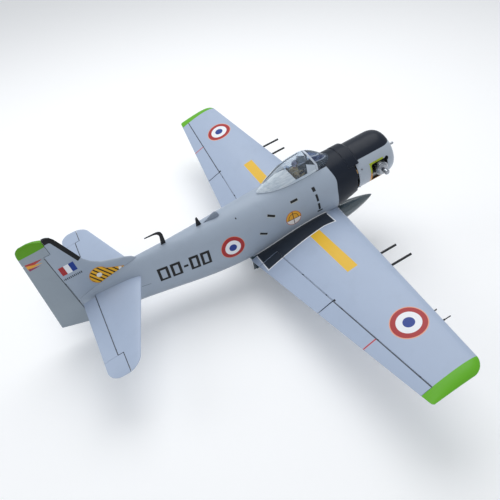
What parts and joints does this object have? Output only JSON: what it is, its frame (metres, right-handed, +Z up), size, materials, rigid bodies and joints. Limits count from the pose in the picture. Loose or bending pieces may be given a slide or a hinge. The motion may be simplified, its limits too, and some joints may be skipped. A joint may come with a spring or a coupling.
{
  "type": "radio-controlled propeller aeroplane",
  "caption": "Scale radio-controlled low-wing propeller aeroplane with petrol engine, working control surfaces, sliding canopy, retracting gear and drop tank.",
  "frame": {"origin": "on the ground plane under the centre of the overall bounding box, aircraft in the symmetry plane", "axes": "+X towards the nose, +Y to port (left wing), +Z up; the aircraft stands on its three wheels, nose up 10.66 degrees"},
  "size_m": [1.3896, 1.7976, 0.4584],
  "materials": {
    "grey_skin": "satin painted glass fibre and film covering",
    "wing_skin": "satin light blue-grey covering film",
    "black_paint": "satin black",
    "cowl_paint": "satin light grey and black paint on glass fibre",
    "plywood": "bare birch plywood",
    "cast_alloy": "bead-blasted casting",
    "bright_alloy": "machined",
    "steel": "polished",
    "carbon_tube": "carbon composite",
    "tank_paint": "gloss slate paint",
    "clear": "clear moulded sheet",
    "rubber": "matt black",
    "black_plastic": "moulded",
    "cockpit_grey": "matt",
    "pilot_cloth": "matt painted figure",
    "tank_plastic": "translucent white",
    "battery_wrap": "shrink wrap"
  },
  "bodies": {
    "airframe": {"fuselage_shell": "grey_skin", "fuselage_formers": "plywood", "equipment_tray": "plywood", "firewall": "plywood", "cowl": "cowl_paint", "cowl_screws": "steel", "engine_standoffs": "bright_alloy", "crankcase": "cast_alloy", "cylinder": "cast_alloy", "spark_plug": "steel", "carburettor": "cast_alloy", "muffler": "cast_alloy", "fuel_tank": "tank_plastic", "battery_pack": "battery_wrap", "receiver": "black_plastic", "servos": "black_plastic", "wing_joiner_tube": "carbon_tube", "stabiliser_tube": "carbon_tube", "wing_bolts": "black_plastic", "wing_panel_left": "wing_skin", "wing_panel_right": "wing_skin", "wing_ribs": "plywood", "stabiliser_left": "wing_skin", "stabiliser_right": "wing_skin", "fin": "grey_skin", "hinge_leaves": "black_plastic", "hinge_pins": "steel", "cockpit_tub": "cockpit_grey", "instrument_panel": "black_plastic", "pilot_figure": "pilot_cloth", "windscreen_frame": "grey_skin", "windscreen_glass": "clear", "gun_barrels": "black_paint", "pitot_tube": "bright_alloy", "drop_tank": "tank_paint", "tank_pylon": "grey_skin", "antennas": "black_paint", "retract_frames": "bright_alloy", "tailwheel_bracket": "grey_skin"},
    "propeller_shaft": {"propeller_shaft": "steel"},
    "rudder": {"rudder": "grey_skin"},
    "elevator": {"elevator_left": "wing_skin", "elevator_right": "wing_skin", "elevator_joiner": "steel"},
    "aileron_left": {"aileron_left": "wing_skin"},
    "aileron_right": {"aileron_right": "wing_skin"},
    "flap_left": {"flap_left": "wing_skin"},
    "flap_right": {"flap_right": "wing_skin"},
    "canopy": {"canopy_frame": "grey_skin", "canopy_glass": "clear"},
    "gear_trunnion_left": {"gear_trunnion_left": "bright_alloy"},
    "gear_trunnion_right": {"gear_trunnion_right": "bright_alloy"},
    "gear_strut_left": {"gear_strut_left": "steel"},
    "gear_strut_right": {"gear_strut_right": "steel"},
    "wheel_left": {"wheel_hub_left": "bright_alloy", "tyre_left": "rubber"},
    "wheel_right": {"wheel_hub_right": "bright_alloy", "tyre_right": "rubber"},
    "tailwheel_fork": {"tailwheel_fork": "steel"},
    "tailwheel": {"tailwheel": "rubber"}
  },
  "joints": [
    {"name": "propeller_spin", "type": "hinge", "parent": "airframe", "child": "propeller_shaft", "pos_m": [0.64694, 0, 0.35684], "axis": [0.9828, 0, 0.1849], "continuous": true},
    {"name": "rudder_swing", "type": "hinge", "parent": "airframe", "child": "rudder", "pos_m": [-0.56997, 0, 0.1482], "axis": [-0.2126, 0, 0.9771], "range_deg": [-25, 25]},
    {"name": "elevator_swing", "type": "hinge", "parent": "airframe", "child": "elevator", "pos_m": [-0.52183, 0, 0.18168], "axis": [0, 1, 0], "range_deg": [-20, 20]},
    {"name": "aileron_left_swing", "type": "hinge", "parent": "airframe", "child": "aileron_left", "pos_m": [0.14147, 0.4455, 0.18051], "axis": [0.0582, 0.9912, 0.1193], "range_deg": [-20, 20]},
    {"name": "aileron_right_swing", "type": "hinge", "parent": "airframe", "child": "aileron_right", "pos_m": [0.14147, -0.4455, 0.18051], "axis": [-0.0582, 0.9912, -0.1193], "range_deg": [-20, 20]},
    {"name": "flap_left_swing", "type": "hinge", "parent": "airframe", "child": "flap_left", "pos_m": [0.12164, 0.108, 0.13989], "axis": [-0.0582, -0.9912, -0.1193], "range_deg": [0, 40]},
    {"name": "flap_right_swing", "type": "hinge", "parent": "airframe", "child": "flap_right", "pos_m": [0.12164, -0.108, 0.13989], "axis": [0.0582, -0.9912, 0.1193], "range_deg": [0, 40]},
    {"name": "canopy_slide", "type": "slide", "parent": "airframe", "child": "canopy", "axis": [-0.9863, 0, -0.1652], "range_m": [0, 0.07]},
    {"name": "gear_left_retract", "type": "hinge", "parent": "airframe", "child": "gear_trunnion_left", "pos_m": [0.35893, 0.25, 0.21107], "axis": [0, 1, 0], "range_deg": [0, 88]},
    {"name": "gear_right_retract", "type": "hinge", "parent": "airframe", "child": "gear_trunnion_right", "pos_m": [0.35893, -0.25, 0.21107], "axis": [0, 1, 0], "range_deg": [0, 88]},
    {"name": "gear_left_twist", "type": "hinge", "parent": "gear_trunnion_left", "child": "gear_strut_left", "pos_m": [0.37003, 0.25, 0.1521], "axis": [-0.1849, 0, 0.9828], "range_deg": [-88, 0]},
    {"name": "gear_right_twist", "type": "hinge", "parent": "gear_trunnion_right", "child": "gear_strut_right", "pos_m": [0.37003, -0.25, 0.1521], "axis": [-0.1849, 0, 0.9828], "range_deg": [0, 88]},
    {"name": "wheel_left_roll", "type": "hinge", "parent": "gear_strut_left", "child": "wheel_left", "pos_m": [0.39037, 0.268, 0.044], "axis": [0, 1, 0], "continuous": true},
    {"name": "wheel_right_roll", "type": "hinge", "parent": "gear_strut_right", "child": "wheel_right", "pos_m": [0.39037, -0.268, 0.044], "axis": [0, 1, 0], "continuous": true},
    {"name": "tailwheel_steer", "type": "hinge", "parent": "airframe", "child": "tailwheel_fork", "pos_m": [-0.44618, 0, 0.05549], "axis": [-0.1849, 0, 0.9828], "range_deg": [-30, 30]},
    {"name": "tailwheel_roll", "type": "hinge", "parent": "tailwheel_fork", "child": "tailwheel", "pos_m": [-0.46152, 0, 0.01801], "axis": [0, 1, 0], "continuous": true}
  ],
  "couplings": [
    {"joint": "aileron_right_swing", "follows": "aileron_left_swing", "ratio": -1},
    {"joint": "flap_right_swing", "follows": "flap_left_swing", "ratio": 1},
    {"joint": "gear_right_retract", "follows": "gear_left_retract", "ratio": 1},
    {"joint": "gear_left_twist", "follows": "gear_left_retract", "ratio": -1},
    {"joint": "gear_right_twist", "follows": "gear_left_retract", "ratio": 1},
    {"joint": "tailwheel_steer", "follows": "rudder_swing", "ratio": 1}
  ]
}
